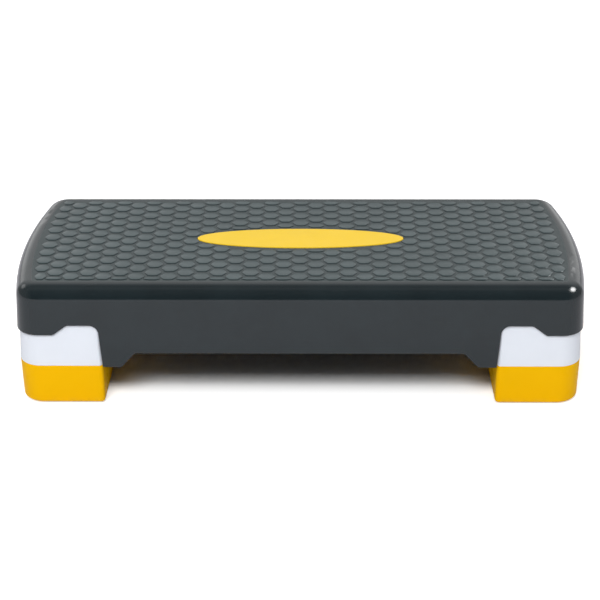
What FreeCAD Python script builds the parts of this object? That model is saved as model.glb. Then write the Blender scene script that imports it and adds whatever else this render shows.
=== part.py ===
import FreeCAD, Part
import math
import os

import Sketcher

# Aerobic step platform with two heights.
# Millimetres, +Z up, front towards -Y, origin on the floor under the middle of the deck.

SIZES = (
    ("step_height", 150, "floor to the top of the badge, risers fitted"),
    ("riser_height", 50, "floor to the seam between riser and leg"),
    ("deck_length", 680, "deck skirt along X at the seam level"),
    ("deck_depth", 280, "deck skirt along Y at the seam level"),
    ("end_bow", 16.5, "how far each end bows out over the full depth"),
    ("corner_radius", 31, "plan radius of the deck corners at the seam level"),
    ("wall_draft", 3.5, "lean of the skirt, in degrees"),
    ("rim_radius", 18, "round from the skirt into the tread"),
    ("wall", 3, "skirt thickness"),
    ("top_wall", 3.2, "tread plate thickness"),
    ("arch_height", 17.5, "rise of the front arch above the seam level"),
    ("arch_tab", 21.6, "flat foot of the skirt beside each leg"),
    ("arch_run", 16, "slope between skirt foot and arch"),
    ("edge_round", 6, "rounding of the bends in the skirt edge"),
    ("edge_soft", 1.2, "softened outer edge of the skirt"),
    ("leg_length", 113.3, "leg along X, from the bowed end inwards"),
    ("leg_gap", 44, "space between the front and back leg of one end"),
    ("leg_recess", 3, "leg face behind the foot of the skirt"),
    ("leg_fit", 0.4, "clearance between leg and deck"),
    ("leg_wall", 3, "wall of leg and riser"),
    ("leg_round", 5, "rounding of the inner upright edges of leg and riser"),
    ("leg_top", 58, "top of the leg above the seam level"),
    ("leg_roof", 3, "roof plate of the leg"),
    ("shoulder_height", 40, "skirt edge at the corner, above the seam level"),
    ("tongue_height", 52, "top of the leg's visible tongue, above the seam level"),
    ("tongue_length", 39, "tongue along the skirt, from the inner edge"),
    ("tongue_run", 16, "slope between tongue and shoulder"),
    ("tongue_round", 11, "rounding of the tongue's inner corner"),
    ("side_lean", 3.5, "lean of the leg's visible inner edge"),
    ("seam_chamfer", 0.7, "chamfer along the seam between riser and leg"),
    ("riser_draft", 0.5, "inward lean of the riser towards the floor, in degrees"),
    ("riser_floor", 4, "bottom plate of the riser"),
    ("foot_round", 3.5, "rounding of the riser's bottom edge"),
    ("spigot_height", 14, "riser crate above the seam level"),
    ("spigot_fit", 0.4, "clearance of the riser crate in the leg"),
    ("crate_rib", 2.5, "rib thickness in leg and riser"),
    ("crate_near", 39, "first crate rib, from the inner face of the leg"),
    ("crate_far", 13.5, "second crate rib, from the outer pad and screw axis"),
    ("crate_gap", 2, "space between riser crate and leg ribs"),
    ("cell_inner", 17, "pad and screw axis from the leg's inner faces"),
    ("cell_end", 30, "pad and screw axis from the bowed end"),
    ("cell_front", 25, "pad and screw axis from the front"),
    ("rib_thick", 2, "deck rib thickness"),
    ("rib_depth", 27, "deck ribs below the tread plate"),
    ("rib_span", 67, "spacing of the cross ribs"),
    ("rib_row", 60, "spacing of the long ribs"),
    ("socket_drop", 80, "depth of the ribs that frame each leg"),
    ("boss_radius", 5.5, "screw boss in the deck"),
    ("screw_radius", 1.65, "screw shank"),
    ("screw_fit", 0.05, "radial clearance of the screw in its boss"),
    ("screw_hole_fit", 0.55, "radial clearance of the screw in the leg roof"),
    ("screw_grip", 12, "screw length inside the boss"),
    ("screw_head_radius", 4, "screw head"),
    ("screw_head_height", 2.6, "screw head"),
    ("badge_length", 248, "oval badge along X"),
    ("badge_width", 54, "oval badge along Y"),
    ("badge_seat", 1.2, "depth of the badge recess"),
    ("badge_proud", 1, "badge above the tread plate"),
    ("badge_fit", 0.8, "groove around the badge"),
    ("badge_round", 0.8, "rounding of the badge edge"),
    ("peg_radius", 2.5, "badge peg"),
    ("peg_fit", 0.1, "radial clearance of the badge peg"),
    ("peg_head_radius", 4.2, "flattened head of the badge peg"),
    ("peg_head_height", 1.8, "flattened head of the badge peg"),
    ("peg_near", 35, "inner badge pegs from the middle"),
    ("peg_far", 100, "outer badge pegs from the middle"),
    ("pad_radius", 8, "rubber pad under the riser"),
    ("pad_proud", 1, "rubber pad below the riser"),
    ("pad_seat", 2, "depth of the pad pocket"),
    ("pad_fit", 0.2, "radial clearance of a pad in its pocket"),
    ("stem_radius", 2.4, "stem of a rubber pad"),
    ("stem_fit", 0.1, "radial clearance of the stem"),
    ("barb_radius", 3.4, "barb that holds a pad"),
    ("barb_height", 2, "barb that holds a pad"),
    ("leg_pad_radius", 6, "rubber pad under the leg"),
    ("leg_pad_proud", 1, "rubber pad below the leg"),
    ("post_wall", 2, "wall of the tube that carries a leg pad"),
    ("post_floor", 3, "bottom of that tube above the pad pocket"),
)

doc = FreeCAD.newDocument("aerobic_step")
sheet = doc.addObject("Spreadsheet::Sheet", "Sizes")
for row, (alias, value, note) in enumerate(SIZES, 1):
    sheet.set("A%d" % row, alias)
    sheet.set("B%d" % row, str(value))
    sheet.set("C%d" % row, note)
    sheet.setAlias("B%d" % row, alias)
doc.recompute()

# Levels and places that several sub-parts share, as expressions on the sheet.
SEAM = "Sizes.riser_height"
DECK_TOP = "(Sizes.step_height - Sizes.badge_proud)"
PLATE_UNDER = "(%s - Sizes.top_wall)" % DECK_TOP
LEG_TOP = "(%s + Sizes.leg_top)" % SEAM
ROOF_UNDER = "(%s - Sizes.leg_roof)" % LEG_TOP
SPIGOT_TOP = "(%s + Sizes.spigot_height)" % SEAM
HALF_LENGTH = "(Sizes.deck_length / 2)"
HALF_DEPTH = "(Sizes.deck_depth / 2)"
END_RADIUS = "((%s ^ 2 + Sizes.end_bow ^ 2) / (2 * Sizes.end_bow))" % HALF_DEPTH
END_CENTRE = "(%s - %s)" % (HALF_LENGTH, END_RADIUS)
LEG_X = "(%s - Sizes.leg_length)" % HALF_LENGTH
LEG_Y = "(Sizes.leg_gap / 2)"
CELL_X_INNER = "(%s + Sizes.cell_inner)" % LEG_X
CELL_X_OUTER = "(%s - Sizes.cell_end)" % HALF_LENGTH
CELL_Y_INNER = "(%s + Sizes.cell_inner)" % LEG_Y
CELL_Y_OUTER = "(%s - Sizes.cell_front)" % HALF_DEPTH
LEG_UPPER_INSET = "(Sizes.wall + Sizes.leg_top * tan(Sizes.wall_draft) + Sizes.leg_fit)"
WINDOW_MARGIN = 20
BAND_DEPTH = 20
END_BAND = 40

CORNERS = (("front_right", 1, -1), ("front_left", -1, -1), ("back_right", 1, 1), ("back_left", -1, 1))


def number(expression):
    """Value of a sheet expression, as a plain number."""
    return float(sheet.evalExpression(expression))


def origin_plane(body, role):
    """Origin plane of a body, by its role."""
    return [item for item in body.Origin.OriginFeatures if item.Role == role][0]


def new_sketch(body, name, role="XY_Plane", offset="0"):
    """Sketch on an origin plane of the body, moved along the plane's normal."""
    sketch = body.newObject("Sketcher::SketchObject", name)
    sketch.AttachmentSupport = [(origin_plane(body, role), "")]
    sketch.MapMode = "FlatFace"
    sketch.setExpression("AttachmentOffset.Base.z", offset)
    return sketch


def drive(sketch, name, constraint, expression):
    """Add a named constraint whose value follows the sheet."""
    index = sketch.addConstraint(constraint)
    sketch.renameConstraint(index, name)
    sketch.setExpression("Constraints." + name, expression)


def arc(cx, cy, radius, start, end):
    """Arc of a circle in the sketch plane, angles in radians."""
    circle = Part.Circle(FreeCAD.Vector(cx, cy, 0), FreeCAD.Vector(0, 0, 1), radius)
    return Part.ArcOfCircle(circle, start, end)


def line(x0, y0, x1, y1):
    """Straight line in the sketch plane."""
    return Part.LineSegment(FreeCAD.Vector(x0, y0, 0), FreeCAD.Vector(x1, y1, 0))


def join_tangent(sketch, count):
    """Join the first curves of a sketch end to end, each tangent to the next."""
    for index in range(count):
        following = (index + 1) % count
        sketch.addConstraint(Sketcher.Constraint("Tangent", index, 2, following, 1))


def drive_end_arc(sketch, index, name, side, inset):
    """Bind a bowed end arc: centre on the X axis, radius less the inset."""
    radius = "%s - %s" % (END_RADIUS, inset)
    centre = "%d * %s" % (side, END_CENTRE)
    sketch.addConstraint(Sketcher.Constraint("PointOnObject", index, 3, -1))
    drive(sketch, name + "_radius", Sketcher.Constraint("Radius", index, number(radius)), radius)
    distance = Sketcher.Constraint("DistanceX", -1, 1, index, 3, number(centre))
    drive(sketch, name + "_centre", distance, centre)


def draw_deck(sketch, inset):
    """Deck outline with bowed ends and round corners, drawn in by the inset."""
    half_depth = number("%s - %s" % (HALF_DEPTH, inset))
    end_radius = number("%s - %s" % (END_RADIUS, inset))
    end_centre = number(END_CENTRE)
    corner = number("Sizes.corner_radius - %s" % inset)
    corner_y = half_depth - corner
    corner_x = end_centre + math.sqrt((end_radius - corner) ** 2 - corner_y ** 2)
    swing = math.atan2(corner_y, corner_x - end_centre)
    quarter = math.pi / 2
    sketch.addGeometry([
        line(-corner_x, -half_depth, corner_x, -half_depth),
        arc(corner_x, -corner_y, corner, -quarter, -swing),
        arc(end_centre, 0, end_radius, -swing, swing),
        arc(corner_x, corner_y, corner, swing, quarter),
        line(corner_x, half_depth, -corner_x, half_depth),
        arc(-corner_x, corner_y, corner, quarter, math.pi - swing),
        arc(-end_centre, 0, end_radius, math.pi - swing, math.pi + swing),
        arc(-corner_x, -corner_y, corner, math.pi + swing, 3 * quarter),
    ], False)
    join_tangent(sketch, 8)
    for index, name, side in ((0, "front", -1), (4, "back", 1)):
        level = "%d * (%s - %s)" % (side, HALF_DEPTH, inset)
        sketch.addConstraint(Sketcher.Constraint("Horizontal", index))
        drive(sketch, name, Sketcher.Constraint("DistanceY", -1, 1, index, 1, number(level)), level)
    drive_end_arc(sketch, 2, "right", 1, inset)
    drive_end_arc(sketch, 6, "left", -1, inset)
    for index in (1, 3, 5, 7):
        radius = Sketcher.Constraint("Radius", index, corner)
        drive(sketch, "corner_%d" % index, radius, "Sizes.corner_radius - %s" % inset)


def draw_leg(sketch, outer, inner):
    """Plan of the front right leg, drawn in from the skirt by outer and from the deck ribs by inner."""
    front = number("%s - %s" % (HALF_DEPTH, outer))
    left = number("%s + %s" % (LEG_X, inner))
    back = number("%s + %s" % (LEG_Y, inner))
    end_radius = number("%s - %s" % (END_RADIUS, outer))
    end_centre = number(END_CENTRE)
    corner = number("Sizes.corner_radius - %s" % outer)
    small_expression = "Sizes.leg_round + Sizes.leg_fit - %s" % inner
    small = number(small_expression)
    corner_y = front - corner
    corner_x = end_centre + math.sqrt((end_radius - corner) ** 2 - corner_y ** 2)
    corner_swing = math.atan2(corner_y, corner_x - end_centre)
    tip_y = back + small
    tip_x = end_centre + math.sqrt((end_radius - small) ** 2 - tip_y ** 2)
    tip_swing = math.atan2(tip_y, tip_x - end_centre)
    quarter = math.pi / 2
    sketch.addGeometry([
        line(left + small, -front, corner_x, -front),
        arc(corner_x, -corner_y, corner, -quarter, -corner_swing),
        arc(end_centre, 0, end_radius, -corner_swing, -tip_swing),
        arc(tip_x, -tip_y, small, -tip_swing, quarter),
        line(tip_x, -back, left + small, -back),
        arc(left + small, -tip_y, small, quarter, 2 * quarter),
        line(left, -tip_y, left, -front + small),
        arc(left + small, -front + small, small, 2 * quarter, 3 * quarter),
    ], False)
    join_tangent(sketch, 8)
    for index, name, level in (
        (0, "front", "-(%s - %s)" % (HALF_DEPTH, outer)),
        (4, "back", "-(%s + %s)" % (LEG_Y, inner)),
    ):
        sketch.addConstraint(Sketcher.Constraint("Horizontal", index))
        drive(sketch, name, Sketcher.Constraint("DistanceY", -1, 1, index, 1, number(level)), level)
    side = "%s + %s" % (LEG_X, inner)
    sketch.addConstraint(Sketcher.Constraint("Vertical", 6))
    drive(sketch, "side", Sketcher.Constraint("DistanceX", -1, 1, 6, 1, number(side)), side)
    drive_end_arc(sketch, 2, "end", 1, outer)
    radius = Sketcher.Constraint("Radius", 1, corner)
    drive(sketch, "corner", radius, "Sizes.corner_radius - %s" % outer)
    for index in (3, 5, 7):
        radius = Sketcher.Constraint("Radius", index, small)
        drive(sketch, "small_%d" % index, radius, small_expression)


def draw_polygon(sketch, points):
    """Closed polygon whose corners follow the sheet, each given as two expressions."""
    corners = [(number(across), number(up)) for across, up in points]
    count = len(corners)
    for index in range(count):
        sketch.addGeometry(line(*corners[index], *corners[(index + 1) % count]), False)
    for index in range(count):
        following = (index + 1) % count
        sketch.addConstraint(Sketcher.Constraint("Coincident", index, 2, following, 1))
    for index, (across, up) in enumerate(points):
        x, y = corners[index]
        drive(sketch, "across_%d" % index, Sketcher.Constraint("DistanceX", -1, 1, index, 1, x), across)
        drive(sketch, "up_%d" % index, Sketcher.Constraint("DistanceY", -1, 1, index, 1, y), up)


def add_pad(body, sketch, length, taper=None, downward=False):
    """Pad a sketch, with an optional taper that narrows it."""
    pad = body.newObject("PartDesign::Pad", sketch.Name + "_pad")
    pad.Profile = sketch
    pad.setExpression("Length", length)
    pad.Reversed = downward
    if taper:
        pad.setExpression("TaperAngle", "-" + taper)
    doc.recompute()
    return pad


def round_edges(body, base, edges, radius, name, kind="PartDesign::Fillet"):
    """Fillet or chamfer the named edges of a feature, size bound to the sheet."""
    feature = body.newObject(kind, name)
    feature.Base = (base, edges)
    feature.setExpression("Size" if kind.endswith("Chamfer") else "Radius", radius)
    doc.recompute()
    return feature


def edges_where(shape, test):
    """Names of the edges that pass the test."""
    return ["Edge%d" % index for index, edge in enumerate(shape.Edges, 1) if test(edge)]


def edges_at_level(shape, level):
    """Names of the edges that lie at one height."""
    def flat(edge):
        box = edge.BoundBox
        return abs(box.ZMin - level) < 0.01 and abs(box.ZMax - level) < 0.01
    return edges_where(shape, flat)


def round_corner(body, base, axis, points, radius, name):
    """Fillet the edges of a prism that run along an axis through the given points of its sketch."""
    spots = [(number(across), number(up)) for across, up in points]

    def through(edge):
        ends = [(v.Point.x if axis == "y" else v.Point.y, v.Point.z) for v in edge.Vertexes]
        return any(all(math.dist(end, spot) < 0.01 for end in ends) for spot in spots)
    return round_edges(body, base, edges_where(base.Shape, through), radius, name)


def deck_solid(name, inset, top, rim):
    """Deck-shaped solid from the seam level up, with its round rim."""
    body = doc.addObject("PartDesign::Body", name)
    sketch = new_sketch(body, name + "_outline", offset=SEAM)
    draw_deck(sketch, inset)
    pad = add_pad(body, sketch, "%s - %s" % (top, SEAM), taper="Sizes.wall_draft")
    edges = edges_at_level(pad.Shape, number(top))
    round_edges(body, pad, edges, rim, name + "_rim")
    return body


def leg_solid(name, outer, inner, bottom, top, taper=None, downward=False):
    """Leg-shaped solid between two levels; a tapered one narrows away from its sketch."""
    body = doc.addObject("PartDesign::Body", name)
    sketch = new_sketch(body, name + "_plan", offset=top if downward else bottom)
    draw_leg(sketch, outer, inner)
    add_pad(body, sketch, "(%s) - (%s)" % (top, bottom), taper, downward)
    return body


def window_points(inner_edge, limit, gap, side):
    """Stepped outline of a leg's visible face: upright inner edge, tongue, slope and shoulder."""
    tongue = "%s + Sizes.tongue_height - %s" % (SEAM, gap)
    shoulder = "%s + Sizes.shoulder_height - %s" % (SEAM, gap)
    below = "%s - %d" % (SEAM, WINDOW_MARGIN)
    outside = "%s + %d" % (limit, WINDOW_MARGIN)
    steps = (
        ("%s + %s" % (inner_edge, gap), below),
        ("%s + %s" % (inner_edge, gap), SEAM),
        ("%s + %s + Sizes.side_lean" % (inner_edge, gap), tongue),
        ("%s + Sizes.tongue_length" % inner_edge, tongue),
        ("%s + Sizes.tongue_length + Sizes.tongue_run" % inner_edge, shoulder),
        (outside, shoulder),
        (outside, below),
    )
    return [("%d * (%s)" % (side, across), up) for across, up in steps]


def corner_window(name, gap):
    """Prisms of the front right leg's visible faces, one through the front and one through the end."""
    prisms = []
    for face, role, inner_edge, limit, side, axis in (
        ("front", "XZ_Plane", LEG_X, HALF_LENGTH, 1, "y"),
        ("end", "YZ_Plane", LEG_Y, HALF_DEPTH, -1, "x"),
    ):
        body = doc.addObject("PartDesign::Body", "%s_%s" % (name, face))
        reach = HALF_DEPTH if face == "front" else HALF_LENGTH
        band = BAND_DEPTH if face == "front" else END_BAND
        sketch = new_sketch(body, "%s_%s_outline" % (name, face), role, "%s - %d" % (reach, band))
        points = window_points(inner_edge, limit, gap, side)
        draw_polygon(sketch, points)
        pad = add_pad(body, sketch, "%d + %d" % (band, WINDOW_MARGIN))
        inner = round_corner(body, pad, axis, points[2:3], "Sizes.tongue_round", body.Name + "_tongue")
        round_corner(body, inner, axis, points[3:5], "Sizes.edge_round", body.Name + "_bends")
        prisms.append(body)
    return fuse(name, prisms)


def box(name, x, y, z, length, width, height):
    """Box between expressions for its low corner and its sizes."""
    item = doc.addObject("Part::Box", name)
    for prop, expression in (("Length", length), ("Width", width), ("Height", height)):
        item.setExpression(prop, expression)
    for prop, expression in (("x", x), ("y", y), ("z", z)):
        item.setExpression("Placement.Base." + prop, expression)
    return item


def cylinder(name, x, y, bottom, top, radius):
    """Upright cylinder between two levels."""
    item = doc.addObject("Part::Cylinder", name)
    item.setExpression("Radius", radius)
    item.setExpression("Height", "(%s) - (%s)" % (top, bottom))
    for prop, expression in (("x", x), ("y", y), ("z", bottom)):
        item.setExpression("Placement.Base." + prop, expression)
    return item


def oval(name, length, width, bottom, height):
    """Upright solid of elliptic outline."""
    curve = doc.addObject("Part::Ellipse", name + "_curve")
    curve.setExpression("MajorRadius", "%s / 2" % length)
    curve.setExpression("MinorRadius", "%s / 2" % width)
    curve.setExpression("Placement.Base.z", bottom)
    solid = doc.addObject("Part::Extrusion", name)
    solid.Base = curve
    solid.DirMode = "Custom"
    solid.Dir = FreeCAD.Vector(0, 0, 1)
    solid.Solid = True
    solid.setExpression("LengthFwd", height)
    return solid


def fuse(name, items):
    """Union of several objects."""
    item = doc.addObject("Part::MultiFuse", name)
    item.Shapes = items
    return item


def common(name, base, tool):
    """What two objects share."""
    item = doc.addObject("Part::Common", name)
    item.Base = base
    item.Tool = tool
    return item


def cut(name, base, tool):
    """The base less the tool."""
    item = doc.addObject("Part::Cut", name)
    item.Base = base
    item.Tool = tool
    return item


def mirror(name, source, normal):
    """Mirror image through the origin."""
    item = doc.addObject("Part::Mirroring", name)
    item.Source = source
    item.Base = FreeCAD.Vector(0, 0, 0)
    item.Normal = FreeCAD.Vector(*normal)
    return item


def four_corners(prefix, source):
    """The front right object and its three mirror images, by corner name."""
    front_left = mirror(prefix + "_front_left", source, (1, 0, 0))
    back_right = mirror(prefix + "_back_right", source, (0, 1, 0))
    back_left = mirror(prefix + "_back_left", back_right, (1, 0, 0))
    return {
        "front_right": source,
        "front_left": front_left,
        "back_right": back_right,
        "back_left": back_left,
    }


def turned(name, x, y, points):
    """Round piece about an upright axis, from (radius, level) expressions."""
    body = doc.addObject("PartDesign::Body", name)
    sketch = new_sketch(body, name + "_profile", "XZ_Plane")
    draw_polygon(sketch, points)
    turn = body.newObject("PartDesign::Revolution", name + "_turn")
    turn.Profile = sketch
    turn.ReferenceAxis = (sketch, ["V_Axis"])
    turn.Angle = 360
    body.setExpression("Placement.Base.x", x)
    body.setExpression("Placement.Base.y", y)
    return body


def signed(side, expression):
    """Expression on the right or left, back or front side."""
    return "%d * %s" % (side, expression)


def crate(name, bottom, top):
    """Two ribs each way across a leg, one beside its inner and one beside its outer cells."""
    ribs = []
    height = "(%s) - (%s)" % (top, bottom)
    along_y = "%s - %s" % (HALF_DEPTH, LEG_Y)
    places = (
        (LEG_X + " + Sizes.crate_near", "-(%s + Sizes.crate_near + Sizes.crate_rib)" % LEG_Y),
        (CELL_X_OUTER + " - Sizes.crate_far - Sizes.crate_rib", "-(%s - Sizes.crate_far)" % CELL_Y_OUTER),
    )
    for index, (x, y) in enumerate(places):
        ribs.append(box("%s_cross_%d" % (name, index), x, "-" + HALF_DEPTH, bottom,
                        "Sizes.crate_rib", along_y, height))
        ribs.append(box("%s_long_%d" % (name, index), LEG_X, y, bottom,
                        "Sizes.leg_length", "Sizes.crate_rib", height))
    return fuse(name, ribs)


def make_badge():
    """Oval badge plate with four flattened pegs through the tread plate."""
    bottom = "%s - Sizes.badge_seat" % DECK_TOP
    plate = oval("badge_oval", "Sizes.badge_length", "Sizes.badge_width", bottom,
                 "Sizes.badge_seat + Sizes.badge_proud")
    doc.recompute()
    body = doc.addObject("PartDesign::Body", "badge_soft")
    body.BaseFeature = plate
    doc.recompute()
    base = body.Group[0]
    edges = edges_at_level(base.Shape, number("Sizes.step_height"))
    round_edges(body, base, edges, "Sizes.badge_round", "badge_edge")
    pieces = [body]
    for index, (side, place) in enumerate(peg_places()):
        x = signed(side, place)
        head = "%s - Sizes.peg_head_height" % PLATE_UNDER
        shaft_top = "%s + Sizes.badge_proud / 2" % bottom
        pieces.append(cylinder("peg_%d" % index, x, "0", head, shaft_top, "Sizes.peg_radius"))
        pieces.append(cylinder("peg_head_%d" % index, x, "0", head, PLATE_UNDER, "Sizes.peg_head_radius"))
    return fuse("badge_plate", pieces)


def peg_places():
    """Sides and distances of the badge pegs along X."""
    return [(side, place) for side in (-1, 1) for place in ("Sizes.peg_near", "Sizes.peg_far")]


def screw_places():
    """Axes of the leg screws: two cells on one diagonal of each leg."""
    places = []
    for corner, side_x, side_y in CORNERS:
        places.append((signed(side_x, CELL_X_OUTER), signed(side_y, CELL_Y_OUTER)))
        places.append((signed(side_x, CELL_X_INNER), signed(side_y, CELL_Y_INNER)))
    return places


def deck_ribs():
    """Ribs under the tread, before they are trimmed to the inside of the deck."""
    ribs = []
    low = "%s - Sizes.rib_depth" % PLATE_UNDER
    full = "Sizes.rib_depth + Sizes.top_wall"
    for step in range(-4, 5):
        x = "%d * Sizes.rib_span - Sizes.rib_thick / 2" % step
        ribs.append(box("cross_rib_%d" % (step + 4), x, "-" + HALF_DEPTH, low,
                        "Sizes.rib_thick", "Sizes.deck_depth", full))
    for index, step in enumerate((-1.5, -0.5, 0.5, 1.5)):
        y = "%s * Sizes.rib_row - Sizes.rib_thick / 2" % step
        ribs.append(box("long_rib_%d" % index, "-" + HALF_LENGTH, y, low,
                        "Sizes.deck_length", "Sizes.rib_thick", full))
    deep = "%s - Sizes.socket_drop" % PLATE_UNDER
    tall = "Sizes.socket_drop + Sizes.top_wall"
    across = "%s - %s + Sizes.rib_thick" % (HALF_DEPTH, LEG_Y)
    for side, word in ((-1, "left"), (1, "right")):
        x = LEG_X + " - Sizes.rib_thick" if side > 0 else "-" + LEG_X
        start = LEG_X + " - Sizes.rib_thick" if side > 0 else "-" + HALF_LENGTH
        for row, low_y, place in (("front", "-" + HALF_DEPTH, "-" + LEG_Y),
                                  ("back", LEG_Y + " - Sizes.rib_thick", LEG_Y + " - Sizes.rib_thick")):
            ribs.append(box("socket_cross_%s_%s" % (word, row), x, low_y, deep, "Sizes.rib_thick", across, tall))
            ribs.append(box("socket_long_%s_%s" % (word, row), start, place, deep,
                            "Sizes.leg_length + Sizes.rib_thick", "Sizes.rib_thick", tall))
    return ribs


def make_deck():
    """Moulded deck: shell, ribs and bosses, less windows, arch, badge recess and holes."""
    outer = deck_solid("deck_outer", "0", DECK_TOP, "Sizes.rim_radius")
    core = deck_solid("deck_core", "Sizes.wall", PLATE_UNDER, "Sizes.rim_radius - Sizes.wall")
    trim = deck_solid("deck_trim", "Sizes.wall / 2", "(%s + Sizes.top_wall / 2)" % PLATE_UNDER,
                      "Sizes.rim_radius - Sizes.wall / 2")
    inside = deck_ribs()
    for index, (x, y) in enumerate(screw_places()):
        inside.append(cylinder("boss_%d" % index, x, y, LEG_TOP, DECK_TOP, "Sizes.boss_radius"))
    ribs = common("deck_ribs", fuse("rib_grid", inside), trim)
    blank = fuse("deck_blank", [cut("deck_skin", outer, core), ribs])
    tools = list(four_corners("window", corner_window("window", "0")).values())
    tools.append(make_arch())
    recess_bottom = "%s - Sizes.badge_seat" % DECK_TOP
    tools.append(oval("badge_recess", "(Sizes.badge_length + 2 * Sizes.badge_fit)",
                      "(Sizes.badge_width + 2 * Sizes.badge_fit)", recess_bottom, "2 * Sizes.badge_seat"))
    for index, (side, place) in enumerate(peg_places()):
        tools.append(cylinder("peg_hole_%d" % index, signed(side, place), "0", PLATE_UNDER + " - 1", DECK_TOP,
                              "Sizes.peg_radius + Sizes.peg_fit"))
    for index, (x, y) in enumerate(screw_places()):
        tools.append(cylinder("pilot_%d" % index, x, y, LEG_TOP + " - 1", LEG_TOP + " + Sizes.screw_grip + 2",
                              "Sizes.screw_radius + Sizes.screw_fit"))
    return soften_skirt(cut("deck_cut", blank, fuse("deck_tools", tools)), outer)


def soften_skirt(deck, outer):
    """Round the outer lower edge of the skirt, all along its feet, windows and arch."""
    doc.recompute()
    body = doc.addObject("PartDesign::Body", "deck_shell")
    body.BaseFeature = deck
    doc.recompute()
    base = body.Group[0]
    level = number("%s + Sizes.tongue_height + Sizes.edge_soft" % SEAM)
    sides = Part.Compound([face for face in outer.Shape.Faces if abs(face.normalAt(0, 0).z) < 0.9])

    def sharp(edge):
        middle = edge.valueAt((edge.FirstParameter + edge.LastParameter) / 2)
        if middle.z > level or sides.distToShape(Part.Vertex(middle))[0] > 0.005:
            return False
        normals = []
        for face in base.Shape.ancestorsOfType(edge, Part.Face):
            normals.append(face.normalAt(*face.Surface.parameter(middle)))
        return normals[0].getAngle(normals[1]) > 0.4
    round_edges(body, base, edges_where(base.Shape, sharp), "Sizes.edge_soft", "skirt_edge")
    return body


def make_arch():
    """Prism that lifts the skirt edge between the feet beside the legs, front and back."""
    body = doc.addObject("PartDesign::Body", "arch")
    sketch = new_sketch(body, "arch_outline", "XZ_Plane", "-%s - %d" % (HALF_DEPTH, WINDOW_MARGIN))
    foot = "(%s - Sizes.arch_tab)" % LEG_X
    crown = "(%s - Sizes.arch_run)" % foot
    wide = "(%s + Sizes.arch_tab / 2)" % foot
    top = "%s + Sizes.arch_height" % SEAM
    below = "%s - %d" % (SEAM, WINDOW_MARGIN)
    right = [(crown, top), (foot, SEAM), (wide, SEAM), (wide, below)]
    left = [("-" + across, up) for across, up in reversed(right)]
    draw_polygon(sketch, right + left)
    pad = add_pad(body, sketch, "Sizes.deck_depth + 2 * %d" % WINDOW_MARGIN)
    round_corner(body, pad, "y", right[:2] + left[2:], "Sizes.edge_round", "arch_bends")
    return body


def leg_pad_cells():
    """Cells of the front right leg that carry its own rubber pads."""
    return [(CELL_X_INNER, "-" + CELL_Y_OUTER), (CELL_X_OUTER, "-" + CELL_Y_INNER)]


def make_leg():
    """Front right leg: visible faces below the skirt, upper part inside it, ribs and pad tubes."""
    fit = "Sizes.leg_fit"
    wall = "Sizes.leg_wall"
    block = leg_solid("leg_block", "Sizes.leg_recess", fit, SEAM, LEG_TOP, "Sizes.wall_draft")
    tip = block.Tip
    edges = edges_at_level(tip.Shape, number(SEAM))
    round_edges(block, tip, edges, "Sizes.seam_chamfer", "leg_seam", "PartDesign::Chamfer")
    faces = common("leg_faces", block, corner_window("leg_window", fit))
    upper = leg_solid("leg_upper", LEG_UPPER_INSET, fit, SEAM, LEG_TOP)
    low_top = "(%s + Sizes.shoulder_height - Sizes.leg_wall)" % SEAM
    low_hollow = leg_solid("leg_low_hollow", "(Sizes.leg_recess + %s)" % wall, "(%s + %s)" % (fit, wall),
                           "(%s - %s)" % (SEAM, wall), low_top, "Sizes.wall_draft")
    high_hollow = leg_solid("leg_high_hollow", "(%s + %s)" % (LEG_UPPER_INSET, wall),
                            "(%s + %s)" % (fit, wall), SEAM, ROOF_UNDER)
    shell = cut("leg_shell", fuse("leg_solid", [faces, upper]), fuse("leg_hollow", [low_hollow, high_hollow]))
    rib_bottom = "(%s + Sizes.crate_gap)" % SPIGOT_TOP
    rib_trim = leg_solid("leg_rib_trim", "(%s + %s / 2)" % (LEG_UPPER_INSET, wall), "(%s + %s / 2)" % (fit, wall),
                         SEAM, "(%s + Sizes.leg_roof / 2)" % ROOF_UNDER)
    ribs = common("leg_ribs", crate("leg_crate", rib_bottom, LEG_TOP), rib_trim)
    posts = []
    holes = []
    seat = "(%s - Sizes.leg_pad_proud + Sizes.pad_proud + Sizes.pad_seat)" % SEAM
    floor = "(%s + Sizes.post_floor)" % seat
    for index, (x, y) in enumerate(leg_pad_cells()):
        tube = "Sizes.leg_pad_radius + Sizes.pad_fit"
        posts.append(cylinder("post_%d" % index, x, y, SEAM, ROOF_UNDER + " + Sizes.leg_roof / 2",
                              tube + " + Sizes.post_wall"))
        holes.append(cylinder("post_seat_%d" % index, x, y, SEAM + " - 1", seat, tube))
        holes.append(cylinder("post_stem_%d" % index, x, y, seat + " - 1", floor,
                              "Sizes.stem_radius + Sizes.stem_fit"))
        holes.append(cylinder("post_core_%d" % index, x, y, floor, LEG_TOP + " + 1",
                              "Sizes.leg_pad_radius"))
    for index, (x, y) in enumerate(screw_places()[:2]):
        holes.append(cylinder("screw_hole_%d" % index, x, y, ROOF_UNDER + " - 1", LEG_TOP + " + 1",
                              "Sizes.screw_radius + Sizes.screw_hole_fit"))
    return cut("leg_front_right", fuse("leg_filled", [shell, ribs] + posts), fuse("leg_holes", holes))


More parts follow.
